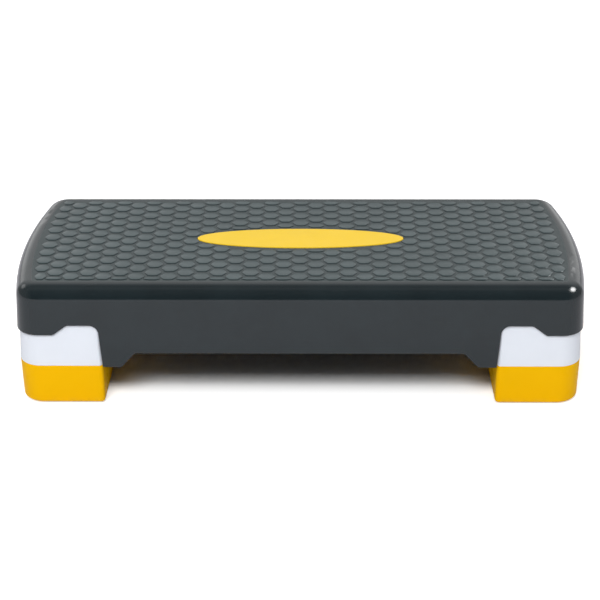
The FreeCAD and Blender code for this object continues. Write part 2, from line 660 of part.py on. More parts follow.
def make_riser():
    """Front right riser: tapered cup with a rib crate that plugs into the leg."""
    fit = "Sizes.leg_fit"
    wall = "Sizes.leg_wall"
    draft = "Sizes.riser_draft"
    bottom = "Sizes.pad_proud"
    floor = "(%s + Sizes.riser_floor)" % bottom
    outer = leg_solid("riser_outer", "Sizes.leg_recess", fit, bottom, SEAM, draft, True)
    tip = outer.Tip
    edges = edges_at_level(tip.Shape, number(bottom))
    tip = round_edges(outer, tip, edges, "Sizes.foot_round", "riser_foot")
    edges = edges_at_level(tip.Shape, number(SEAM))
    round_edges(outer, tip, edges, "Sizes.seam_chamfer", "riser_seam", "PartDesign::Chamfer")
    hollow = leg_solid("riser_hollow", "(Sizes.leg_recess + %s)" % wall, "(%s + %s)" % (fit, wall),
                       floor, SEAM, draft, True)
    low_trim = leg_solid("riser_low_trim", "(Sizes.leg_recess + %s / 2)" % wall, "(%s + %s / 2)" % (fit, wall),
                         "(%s + Sizes.riser_floor / 2)" % bottom, "(%s - %s)" % (SEAM, wall), draft, True)
    plug = "(%s + Sizes.spigot_fit)" % wall
    high_trim = leg_solid("riser_high_trim", "(Sizes.leg_recess + %s)" % plug, "(%s + %s)" % (fit, plug),
                          "(%s - 2 * %s)" % (SEAM, wall), SPIGOT_TOP, "Sizes.wall_draft")
    ribs = common("riser_ribs", crate("riser_crate", bottom, SPIGOT_TOP),
                  fuse("riser_trim", [low_trim, high_trim]))
    blank = fuse("riser_blank", [cut("riser_cup", outer, hollow), ribs])
    seat = "(%s + Sizes.pad_seat)" % bottom
    holes = []
    for index, (x, y) in enumerate(riser_pad_cells()):
        holes.append(cylinder("pad_pocket_%d" % index, x, y, "0", seat, "Sizes.pad_radius + Sizes.pad_fit"))
        holes.append(cylinder("pad_stem_%d" % index, x, y, "0", floor + " + 1",
                              "Sizes.stem_radius + Sizes.stem_fit"))
    return cut("riser_front_right", blank, fuse("riser_holes", holes))


def riser_pad_cells():
    """Cells of the front right riser that carry a rubber pad."""
    return [(x, "-" + y) for x in (CELL_X_INNER, CELL_X_OUTER) for y in (CELL_Y_INNER, CELL_Y_OUTER)]


def rubber_pad(name, x, y, bottom, radius, disc, stem):
    """Rubber disc with a stem and a barb, from its floor face up."""
    disc_top = "%s + %s" % (bottom, disc)
    stem_top = "%s + %s" % (disc_top, stem)
    return turned(name, x, y, [
        ("0", bottom),
        (radius, bottom),
        (radius, disc_top),
        ("Sizes.stem_radius", disc_top),
        ("Sizes.stem_radius", stem_top),
        ("Sizes.barb_radius", stem_top),
        ("Sizes.stem_radius", "%s + Sizes.barb_height" % stem_top),
        ("0", "%s + Sizes.barb_height" % stem_top),
    ])


def pad_group(name, cells, side_x, side_y, bottom, radius, stem):
    """The rubber pads of one leg or riser, as one group of separate solids."""
    pads = []
    for index, (x, y) in enumerate(cells):
        pads.append(rubber_pad("%s_%d" % (name, index), signed(side_x, x), signed(-side_y, y), bottom, radius,
                               "(Sizes.pad_proud + Sizes.pad_seat)", stem))
    group = doc.addObject("Part::Compound", name)
    group.Links = pads
    return group


def make_screws():
    """Pan head screws that hold the legs, driven from below."""
    screws = []
    head_under = "%s - Sizes.screw_head_height" % ROOF_UNDER
    tip = "%s + Sizes.screw_grip" % LEG_TOP
    for index, (x, y) in enumerate(screw_places()):
        screws.append(turned("screw_%d" % index, x, y, [
            ("0", head_under),
            ("Sizes.screw_head_radius * 0.7", head_under),
            ("Sizes.screw_head_radius", "%s - Sizes.screw_head_height / 2" % ROOF_UNDER),
            ("Sizes.screw_head_radius", ROOF_UNDER),
            ("Sizes.screw_radius", ROOF_UNDER),
            ("Sizes.screw_radius", "%s - Sizes.screw_radius" % tip),
            ("0", tip),
        ]))
    group = doc.addObject("Part::Compound", "leg_screws")
    group.Links = screws
    return group


nodes = {"deck_shell": make_deck(), "badge_plate": make_badge(), "leg_screws": make_screws()}
for prefix, source in (("leg", make_leg()), ("riser", make_riser())):
    for corner, item in four_corners(prefix, source).items():
        nodes["%s_%s" % (prefix, corner)] = item
for corner, side_x, side_y in CORNERS:
    name = "riser_pads_" + corner
    nodes[name] = pad_group(name, riser_pad_cells(), side_x, side_y, "0", "Sizes.pad_radius",
                            "(Sizes.riser_floor - Sizes.pad_seat)")
    name = "leg_pads_" + corner
    nodes[name] = pad_group(name, leg_pad_cells(), side_x, side_y, "(%s - Sizes.leg_pad_proud)" % SEAM,
                            "Sizes.leg_pad_radius", "Sizes.post_floor")
doc.recompute()

for item in doc.Objects:
    if "Invalid" in item.State or "Error" in item.State:
        raise RuntimeError("%s did not build" % item.Name)
SOLIDS = {"leg_screws": 8, "riser_pads": 4, "leg_pads": 2}
for name, item in nodes.items():
    item.Label = name
    shape = item.Shape
    wanted = next((count for prefix, count in SOLIDS.items() if name.startswith(prefix)), 1)
    if shape.isNull() or not shape.isValid() or len(shape.Solids) != wanted:
        raise RuntimeError("%s has no sound shape" % name)

os.makedirs("parts", exist_ok=True)
for name, item in nodes.items():
    item.Shape.exportStep("parts/%s.step" % name)
    print("%s volume %.1f cm3" % (name, item.Shape.Volume / 1000))
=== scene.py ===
"""Aerobic step platform: finishes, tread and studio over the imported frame."""

import logging
import math
from abc import ABC, abstractmethod
from dataclasses import dataclass
from enum import Enum

import bpy
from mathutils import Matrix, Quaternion, Vector

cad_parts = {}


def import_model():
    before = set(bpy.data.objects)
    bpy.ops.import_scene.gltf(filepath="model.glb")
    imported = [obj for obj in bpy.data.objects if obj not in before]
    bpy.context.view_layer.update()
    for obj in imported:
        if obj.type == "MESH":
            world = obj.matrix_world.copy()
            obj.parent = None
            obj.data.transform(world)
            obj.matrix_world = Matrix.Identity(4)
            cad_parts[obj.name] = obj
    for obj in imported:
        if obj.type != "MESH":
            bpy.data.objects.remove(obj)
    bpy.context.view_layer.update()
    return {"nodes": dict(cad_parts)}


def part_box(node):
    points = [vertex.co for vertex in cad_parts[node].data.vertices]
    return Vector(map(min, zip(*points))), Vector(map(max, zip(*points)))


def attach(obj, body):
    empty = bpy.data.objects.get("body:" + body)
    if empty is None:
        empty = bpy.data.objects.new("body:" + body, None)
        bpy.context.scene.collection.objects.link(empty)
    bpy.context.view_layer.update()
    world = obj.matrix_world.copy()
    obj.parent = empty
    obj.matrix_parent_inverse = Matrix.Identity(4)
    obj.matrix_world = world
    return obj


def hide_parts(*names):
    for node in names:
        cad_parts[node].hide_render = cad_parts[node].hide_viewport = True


LOG = logging.getLogger("aerobic_step")

Colour = tuple[float, float, float]
Triple = tuple[float, float, float]
Span = tuple[float, float]
Socket = bpy.types.NodeSocket
Sockets = bpy.types.bpy_prop_collection
Feed = float | int | tuple | Socket

# Metres that the deck's ends draw in for each square metre of Y.
END_BOW = 0.84
PLASTIC_IOR = 1.5
WHITE = (1.0, 1.0, 1.0, 1.0)


class Corner(Enum):
    """The four corners that carry a leg and a riser."""

    FRONT_LEFT = "front_left"
    FRONT_RIGHT = "front_right"
    BACK_LEFT = "back_left"
    BACK_RIGHT = "back_right"


class Body(Enum):
    """The body that the new pieces ride on."""

    DECK = "deck"


class LampRole(Enum):
    """What a lamp does to the object."""

    LIGHTS = "lights"
    MIRRORED = "mirrored"


def scaled(colour: Colour, share: float = 1.0) -> tuple[float, float, float, float]:
    """Colour made lighter or darker by a share, with full alpha."""
    return (*(min(1.0, part * share) for part in colour), 1.0)


class NodeSheet:
    """Adds nodes to one tree and joins them by socket name."""

    def __init__(self, tree: bpy.types.NodeTree) -> None:
        """Keep the tree that the nodes go into."""
        self.tree = tree

    def add(self, kind: str, inputs: dict[str | int, Feed] | None = None,
            **settings: object) -> bpy.types.Node:
        """Add a node, choose its settings and feed its inputs.

        Args:
            kind: Blender's name of the node type.
            inputs: Values or sockets, by input name or index.
            **settings: Node properties, such as operation.

        Returns:
            The new node.
        """
        node = self.tree.nodes.new(kind)
        for key, value in settings.items():
            setattr(node, key, value)
        for key, value in (inputs or {}).items():
            self.feed(node.inputs[key], value)
        return node

    def feed(self, socket: Socket, value: Feed) -> None:
        """Link a socket to an input, or set a plain value on it.

        Args:
            socket: Input of a node.
            value: Output to link, or value to set.
        """
        if isinstance(value, bpy.types.NodeSocket):
            self.tree.links.new(value, socket)
        else:
            socket.default_value = value

    def math(self, operation: str, first: Feed, second: Feed = 0.0) -> Socket:
        """Result of one Math node."""
        return self.add("ShaderNodeMath", {0: first, 1: second}, operation=operation).outputs[0]

    def product(self, first: Feed, *others: Feed) -> Socket:
        """Product of two or more values.

        Args:
            first: First factor.
            *others: The other factors.

        Returns:
            The product's socket.
        """
        for other in others:
            first = self.math("MULTIPLY", first, other)
        return first

    def half(self, value: Feed) -> Socket:
        """Half of a value."""
        return self.math("MULTIPLY", value, 0.5)

    def pick(self, choice: Socket, off: Feed, on: Feed) -> Socket:
        """Value that goes from off to on as choice goes from 0 to 1."""
        return self.add("ShaderNodeMix", {0: choice, 2: off, 3: on}, data_type="FLOAT").outputs[0]

    def tint(self, choice: Feed, off: Feed, on: Feed) -> Socket:
        """Colour that goes from off to on as choice goes from 0 to 1."""
        return self.add("ShaderNodeMix", {0: choice, 6: off, 7: on}, data_type="RGBA").outputs[2]

    def ramp(self, value: Feed, low: float, high: float, start: float = 0.0, end: float = 1.0) -> Socket:
        """Smooth step of a value, from start at low to end at high."""
        inputs = {0: value, 1: low, 2: high, 3: start, 4: end}
        return self.add("ShaderNodeMapRange", inputs, interpolation_type="SMOOTHSTEP").outputs[0]

    def noise(self, place: Socket, scale: float, detail: float, rough: float = 0.5) -> Socket:
        """Noise value at a place, with features of 1 / scale metres."""
        inputs = {"Vector": place, "Scale": scale, "Detail": detail, "Roughness": rough}
        return self.add("ShaderNodeTexNoise", inputs).outputs[0]

    def bump(self, height: Socket, depth: float, strength: float = 1.0) -> Socket:
        """Normal of a surface with a relief of a given depth."""
        inputs = {"Height": height, "Distance": depth, "Strength": strength}
        return self.add("ShaderNodeBump", inputs).outputs[0]

    def parts(self, vector: Socket) -> tuple[Socket, Socket, Socket]:
        """X, Y and Z of a vector."""
        return tuple(self.add("ShaderNodeSeparateXYZ", {0: vector}).outputs)

    def vector(self, x: Feed, y: Feed, z: Feed) -> Socket:
        """Vector with these three parts."""
        return self.add("ShaderNodeCombineXYZ", {0: x, 1: y, 2: z}).outputs[0]

    def object_place(self) -> Socket:
        """Object coordinates of a surface."""
        return self.add("ShaderNodeTexCoord").outputs["Object"]

    def point(self) -> tuple[Socket, Socket, Socket]:
        """X, Y and Z of each point of a geometry."""
        return self.parts(self.add("GeometryNodeInputPosition").outputs[0])

    def moved(self, geometry: Socket, x: Feed, y: Feed, z: Feed) -> Socket:
        """Geometry with each of its points put at X, Y and Z."""
        inputs = {"Geometry": geometry, "Position": self.vector(x, y, z)}
        return self.add("GeometryNodeSetPosition", inputs).outputs[0]

    def cylinder(self, sides: int, rings: int = 1, fills: int = 1, **settings: object) -> Socket:
        """Upright cylinder of radius 1 and depth 1 around the origin."""
        inputs = {"Vertices": sides, "Side Segments": rings, "Fill Segments": fills,
                  "Radius": 1.0, "Depth": 1.0}
        return self.add("GeometryNodeMeshCylinder", inputs, **settings).outputs[0]

    def stored(self, geometry: Socket, name: str, value: Socket, kind: str) -> Socket:
        """Geometry that keeps a value on its points, under a name."""
        inputs = {"Geometry": geometry, "Name": name, "Value": value}
        return self.add("GeometryNodeStoreNamedAttribute", inputs, data_type=kind).outputs[0]

    def recalled(self, name: str, kind: str) -> Socket:
        """Value that the points keep under a name."""
        return self.add("GeometryNodeInputNamedAttribute", {"Name": name}, data_type=kind).outputs[0]


@dataclass(frozen=True)
class Cloud:
    """Noise that is cut to a smooth step between two of its values."""

    scale: float
    detail: float
    low: float
    high: float
    rough: float = 0.5

    def step(self, sheet: NodeSheet, place: Socket, start: float = 0.0, end: float = 1.0) -> Socket:
        """Value at a place, from start to end."""
        noise = sheet.noise(place, self.scale, self.detail, self.rough)
        return sheet.ramp(noise, self.low, self.high, start, end)


def new_material(name: str) -> tuple[bpy.types.Material, NodeSheet, bpy.types.Node]:
    """Start a material.

    Args:
        name: Name of the material.

    Returns:
        The material, its node tree and its Principled node.
    """
    material = bpy.data.materials.new(name)
    material.use_nodes = True
    return material, NodeSheet(material.node_tree), material.node_tree.nodes["Principled BSDF"]


@dataclass(frozen=True)
class MouldedPlastic:
    """Injection moulded plastic with eroded grain, tone drift and faint scuffs."""

    name: str
    tone: Colour
    roughness: float
    drift: float
    scuff: float
    scuff_tone: Colour
    shine: float = 0.5
    sheen_drift: Span = (-0.04, 0.04)
    scuff_dulling: float = 0.12
    grain_size: float = 0.0011
    grain_height: float = 0.00003
    grain_detail: float = 3.0
    grain_rough: float = 0.6
    tone_cloud: Cloud = Cloud(scale=16.0, detail=4.0, low=0.3, high=0.7, rough=0.6)
    sheen_cloud: Cloud = Cloud(scale=70.0, detail=3.0, low=0.3, high=0.7)
    streak_stretch: Triple = (24.0, 90.0, 160.0)
    streak_cloud: Cloud = Cloud(scale=1.0, detail=5.0, low=0.60, high=0.72, rough=0.65)
    patch_cloud: Cloud = Cloud(scale=9.0, detail=2.0, low=0.48, high=0.62)

    def build(self) -> bpy.types.Material:
        """Make the material.

        Returns:
            A new material on Object coordinates.
        """
        material, sheet, shader = new_material(self.name)
        place = sheet.object_place()
        self.dress(sheet, shader, place)
        shader.inputs["IOR"].default_value = PLASTIC_IOR
        shader.inputs["Specular IOR Level"].default_value = self.shine
        sheet.feed(shader.inputs["Normal"], self.grain(sheet, place))
        return material

    def dress(self, sheet: NodeSheet, shader: bpy.types.Node, place: Socket) -> None:
        """Feed colour and roughness into the shader.

        Args:
            sheet: Node tree of the material.
            shader: Its Principled node.
            place: Object coordinates.
        """
        marks = self.scuffs(sheet, place)
        sheet.feed(shader.inputs["Base Color"], self.colour(sheet, place, marks))
        glossy, dull = (self.roughness + change for change in self.sheen_drift)
        sheen = self.sheen_cloud.step(sheet, place, glossy, dull)
        worn = sheet.math("MULTIPLY", marks, self.scuff_dulling)
        sheet.feed(shader.inputs["Roughness"], sheet.math("ADD", sheen, worn))

    def colour(self, sheet: NodeSheet, place: Socket, marks: Socket) -> Socket:
        """Tone that drifts over the moulding and pales where it is scuffed.

        Args:
            sheet: Node tree of the material.
            place: Object coordinates.
            marks: Rub marks.

        Returns:
            The colour's socket.
        """
        cloud = self.tone_cloud.step(sheet, place)
        tone = sheet.tint(cloud, scaled(self.tone, 1 - self.drift), scaled(self.tone, 1 + self.drift))
        return sheet.tint(sheet.math("MULTIPLY", marks, self.scuff), tone, scaled(self.scuff_tone))

    def scuffs(self, sheet: NodeSheet, place: Socket) -> Socket:
        """Thin broken rub marks, from 0 to 1.

        Args:
            sheet: Node tree of the material.
            place: Object coordinates.

        Returns:
            The marks' socket.
        """
        stretch = {"Vector": place, "Scale": self.streak_stretch}
        stretched = sheet.add("ShaderNodeMapping", stretch).outputs[0]
        streaks = self.streak_cloud.step(sheet, stretched)
        return sheet.math("MULTIPLY", streaks, self.patch_cloud.step(sheet, place))

    def grain(self, sheet: NodeSheet, place: Socket) -> Socket:
        """Normal with the eroded grain of the mould."""
        height = sheet.noise(place, 1.0 / self.grain_size, self.grain_detail, self.grain_rough)
        return sheet.bump(height, self.grain_height)


@dataclass(frozen=True)
class DeckPlastic(MouldedPlastic):
    """Deck plastic: glossy on the rim and skirt, duller on the floor between the tread pads."""

    sheen_drift: Span = (-0.02, 0.03)
    scuff_dulling: float = 0.10
    tread_level: float = 0.1485
    tread_rise: float = 0.0012
    tread_roughness: float = 0.46
    # Floor between the pads: a matt tone of its own, kept darker than the pad tops as painted shade in the
    # grooves.
    tread_tone: Colour = (0.0310, 0.0446, 0.0470)
    field_reach: float = 0.3145
    field_depth: float = 0.1150
    field_blur: float = 0.0015
    wall_wear: float = 0.25
    rim_level: float = 0.146
    rim_fade: float = 0.012
    hem_level: float = 0.050
    hem_fade: float = 0.010

    def tread(self, sheet: NodeSheet, place: Socket) -> Socket:
        """Share of the tread finish, 1 between the pads and 0 on the rim.

        Args:
            sheet: Node tree of the material.
            place: Object coordinates.

        Returns:
            The share's socket.
        """
        x, y, z = sheet.parts(place)
        level = sheet.ramp(z, self.tread_level - self.tread_rise, self.tread_level)
        along = sheet.math("ADD", sheet.math("ABSOLUTE", x), sheet.product(y, y, END_BOW))
        inside_x = sheet.ramp(along, self.field_reach, self.field_reach + self.field_blur, 1.0, 0.0)
        across = sheet.math("ABSOLUTE", y)
        inside_y = sheet.ramp(across, self.field_depth, self.field_depth + self.field_blur, 1.0, 0.0)
        return sheet.math("MULTIPLY", level, sheet.math("MULTIPLY", inside_x, inside_y))

    def dress(self, sheet: NodeSheet, shader: bpy.types.Node, place: Socket) -> None:
        """Feed colour and roughness into the shader, by tread and rim.

        Args:
            sheet: Node tree of the material.
            shader: Its Principled node.
            place: Object coordinates.
        """
        tread = self.tread(sheet, place)
        rubbed = sheet.math("MULTIPLY", self.scuffs(sheet, place), self.edges(sheet, place))
        # Between the pads the floor takes its matt tone, partly real and partly painted shade in the
        # grooves.
        tone = sheet.tint(tread, self.colour(sheet, place, rubbed), scaled(self.tread_tone))
        sheet.feed(shader.inputs["Base Color"], tone)
        base = sheet.pick(tread, self.roughness, self.tread_roughness)
        sheen = sheet.math("ADD", base, self.sheen_cloud.step(sheet, place, *self.sheen_drift))
        worn = sheet.math("MULTIPLY", rubbed, self.scuff_dulling)
        sheet.feed(shader.inputs["Roughness"], sheet.math("ADD", sheen, worn))

    def edges(self, sheet: NodeSheet, place: Socket) -> Socket:
        """Wear that grows on the rim, where shoes brush it, and along the lower edge of the skirt.

        Args:
            sheet: Node tree of the material.
            place: Object coordinates.

        Returns:
            The wear's socket, from 0 to 1.
        """
        level = sheet.parts(place)[2]
        rim = sheet.ramp(level, self.rim_level - self.rim_fade, self.rim_level, self.wall_wear, 1.0)
        hem = sheet.ramp(level, self.hem_level, self.hem_level + self.hem_fade, 1.0, 0.0)
        return sheet.math("MAXIMUM", rim, hem)


@dataclass(frozen=True)
class TreadPlastic(MouldedPlastic):
    """Deck plastic on the tread pads: a pale matt tone with rub marks on top, and painted shade down the
    flanks.
    """

    flank_level: float = 0.1492
    top_level: float = 0.1498
    # Painted shade: the dark tone that the pad flanks take below the top.
    painted_flank_shade: Colour = (0.014, 0.022, 0.024)

    def colour(self, sheet: NodeSheet, place: Socket, marks: Socket) -> Socket:
        """Tone that goes from painted shade on the flank up to the scuffed tone of the top.

        Args:
            sheet: Node tree of the material.
            place: Object coordinates.
            marks: Rub marks.

        Returns:
            The colour's socket.
        """
        # Painted shade: the flank is darkened up to the top, which keeps the pad's own tone and its rub
        # marks.
        rise = sheet.ramp(sheet.parts(place)[2], self.flank_level, self.top_level)
        rubbed = super().colour(sheet, place, marks)
        return sheet.tint(rise, scaled(self.painted_flank_shade), rubbed)


@dataclass(frozen=True)
class FootPlastic(MouldedPlastic):
    """Riser plastic that is dulled by floor dust along its foot."""

    dust_level: float = 0.010
    dust_tone: Colour = (0.60, 0.36, 0.05)
    dust: float = 0.35
    dust_cloud: Cloud = Cloud(scale=130.0, detail=4.0, low=0.38, high=0.66, rough=0.6)

    def colour(self, sheet: NodeSheet, place: Socket, marks: Socket) -> Socket:
        """Tone with dust that thins out above the floor.

        Args:
            sheet: Node tree of the material.
            place: Object coordinates.
            marks: Rub marks.

        Returns:
            The colour's socket.
        """
        low = sheet.ramp(sheet.parts(place)[2], 0.0, self.dust_level, self.dust, 0.0)
        dusty = sheet.math("MULTIPLY", low, self.dust_cloud.step(sheet, place))
        clean = super().colour(sheet, place, marks)
        return sheet.tint(dusty, clean, scaled(self.dust_tone))


@dataclass(frozen=True)
class PadRubber:
    """Black moulded rubber with a dusty bloom."""

    name: str
    tone: Colour = (0.018, 0.018, 0.019)
    bloom: Colour = (0.06, 0.06, 0.06)
    bloom_cloud: Cloud = Cloud(scale=240.0, detail=5.0, low=0.45, high=0.75, rough=0.7)
    roughness: Span = (0.62, 0.85)
    grain_scale: float = 1500.0
    grain_detail: float = 3.0
    grain_height: float = 0.00004

    def build(self) -> bpy.types.Material:
        """Make the material.

        Returns:
            A new material on Object coordinates.
        """
        material, sheet, shader = new_material(self.name)
        place = sheet.object_place()
        dust = self.bloom_cloud.step(sheet, place)
        sheet.feed(shader.inputs["Base Color"], sheet.tint(dust, scaled(self.tone), scaled(self.bloom)))
        sheet.feed(shader.inputs["Roughness"], sheet.ramp(dust, 0.0, 1.0, *self.roughness))
        grain = sheet.noise(place, self.grain_scale, self.grain_detail)
        sheet.feed(shader.inputs["Normal"], sheet.bump(grain, self.grain_height))
        return material


@dataclass(frozen=True)
class ScrewSteel:
    """Zinc plated steel with a brushed, slightly uneven film."""

    name: str
    tone: Colour = (0.58, 0.57, 0.54)
    film_cloud: Cloud = Cloud(scale=420.0, detail=4.0, low=0.3, high=0.7)
    film_shares: Span = (0.85, 1.1)
    roughness: Span = (0.28, 0.42)
    brush_scale: float = 2500.0
    brush_detail: float = 2.0
    brush_height: float = 0.00002
    brush_strength: float = 0.6

    def build(self) -> bpy.types.Material:
        """Make the material.

        Returns:
            A new material on Object coordinates.
        """
        material, sheet, shader = new_material(self.name)
        place = sheet.object_place()
        film = self.film_cloud.step(sheet, place)
        thin, thick = (scaled(self.tone, share) for share in self.film_shares)
        sheet.feed(shader.inputs["Base Color"], sheet.tint(film, thin, thick))
        sheet.feed(shader.inputs["Roughness"], sheet.ramp(film, 0.0, 1.0, *self.roughness))
        shader.inputs["Metallic"].default_value = 1.0
        brush = sheet.noise(place, self.brush_scale, self.brush_detail)
        sheet.feed(shader.inputs["Normal"], sheet.bump(brush, self.brush_height, self.brush_strength))
        return material


@dataclass(frozen=True)
class FloorPaper:
    """White studio paper that stays white for the camera: the shadow under the deck is kept, and a painted
    glow outside it shapes the shadow's edge.
    """

    name: str
    tone: Colour = (0.88, 0.88, 0.88)
    mirrored_tone: Colour = (0.77, 0.76, 0.80)
    # Box under the deck, and the fade and strength of the painted glow that the camera sees outside it.
    half_length: float = 0.30
    half_depth: float = 0.081
    fade: float = 0.036
    painted_glow: float = 0.42

    def build(self) -> bpy.types.Material:
        """Make the material.

        Returns:
            A new material for the floor.
        """
        material, sheet, shader = new_material(self.name)
        path = sheet.add("ShaderNodeLightPath").outputs
        tone = sheet.tint(path["Is Glossy Ray"], scaled(self.tone), scaled(self.mirrored_tone))
        sheet.feed(shader.inputs["Base Color"], sheet.tint(path["Is Camera Ray"], tone, WHITE))
        shader.inputs["Roughness"].default_value = 1.0
        shader.inputs["Specular IOR Level"].default_value = 0.0
        shader.inputs["Emission Color"].default_value = WHITE
        # Painted glow: emission that only the camera sees, rising outside the box and setting where the
        # shadow ends.
        lift = sheet.ramp(self.outside(sheet), 0.0, self.fade, 0.0, self.painted_glow)
        seen = sheet.math("MULTIPLY", path["Is Camera Ray"], lift)
        sheet.feed(shader.inputs["Emission Strength"], seen)
        return material

    def outside(self, sheet: NodeSheet) -> Socket:
        """Distance of a floor point from the ground under the deck.

        Args:
            sheet: Node tree of the material.

        Returns:
            The distance's socket.
        """
        x, y, _ = sheet.parts(sheet.object_place())
        past = []
        for along, limit in ((x, self.half_length), (y, self.half_depth)):
            beyond = sheet.math("SUBTRACT", sheet.math("ABSOLUTE", along), limit)
            past.append(sheet.math("MAXIMUM", beyond, 0.0))
        gap = sheet.vector(past[0], past[1], 0.0)
        return sheet.add("ShaderNodeVectorMath", {0: gap}, operation="LENGTH").outputs["Value"]


def dress_node(node: bpy.types.Object, material: bpy.types.Material) -> None:
    """Give every material slot of a CAD node one finish.

    Args:
        node: The node's object.
        material: Finish that it gets.
    """
    for slot in node.material_slots:
        slot.material = material
    LOG.info("%s: dressed in %s", node.name, material.name)


class Grown(ABC):
    """A piece that a geometry tree makes once and that is kept as a plain mesh."""

    @abstractmethod
    def sizes(self) -> dict[str, float]:
        """Named inputs of the tree and their values."""

    @abstractmethod
    def shape(self, sheet: NodeSheet, given: Sockets) -> Socket:
        """Realized geometry of the piece, from the tree's named inputs."""

    @staticmethod
    def name_inputs(tree: bpy.types.NodeTree, values: dict[str, object]) -> dict[str, str]:
        """Give a tree its geometry sockets and its named inputs.

        Args:
            tree: Geometry tree.
            values: Values by input name, each of which sets the kind of its socket.

        Returns:
            Socket identifier of each named input.
        """
        kinds = {int: "NodeSocketInt", float: "NodeSocketFloat", bpy.types.Material: "NodeSocketMaterial"}
        for way in ("INPUT", "OUTPUT"):
            tree.interface.new_socket("Geometry", in_out=way, socket_type="NodeSocketGeometry")
        identifiers = {}
        for name, value in values.items():
            socket = tree.interface.new_socket(name, in_out="INPUT", socket_type=kinds[type(value)])
            identifiers[name] = socket.identifier
        return identifiers

    def grow(self, name: str, material: bpy.types.Material,
             seeds: tuple[Triple, ...] = ()) -> bpy.types.Object:
        """Evaluate the piece's tree once and keep its result as a plain mesh.

        Args:
            name: Name of the piece.
            material: Its finish.
            seeds: Points that the tree starts from.

        Returns:
            The piece, without a modifier.
        """
        values = dict(self.sizes(), Finish=material)
        tree = bpy.data.node_groups.new(name, "GeometryNodeTree")
        identifiers = self.name_inputs(tree, values)
        sheet = NodeSheet(tree)
        given = sheet.add("NodeGroupInput").outputs
        finish = {"Geometry": self.shape(sheet, given), "Material": given["Finish"]}
        sheet.add("NodeGroupOutput", {0: sheet.add("GeometryNodeSetMaterial", finish).outputs[0]})
        start = bpy.data.meshes.new(name + "_seed")
        start.from_pydata(list(seeds), [], [])
        piece = bpy.data.objects.new(name, start)
        bpy.context.scene.collection.objects.link(piece)
        modifier = piece.modifiers.new("grow", "NODES")
        modifier.node_group = tree
        for label, value in values.items():
            modifier[identifiers[label]] = value
        graph = bpy.context.evaluated_depsgraph_get()
        mesh = bpy.data.meshes.new_from_object(piece.evaluated_get(graph))
        piece.modifiers.remove(modifier)
        piece.data = mesh
        mesh.name = name
        LOG.info("%s: %d faces", name, len(mesh.polygons))
        return piece


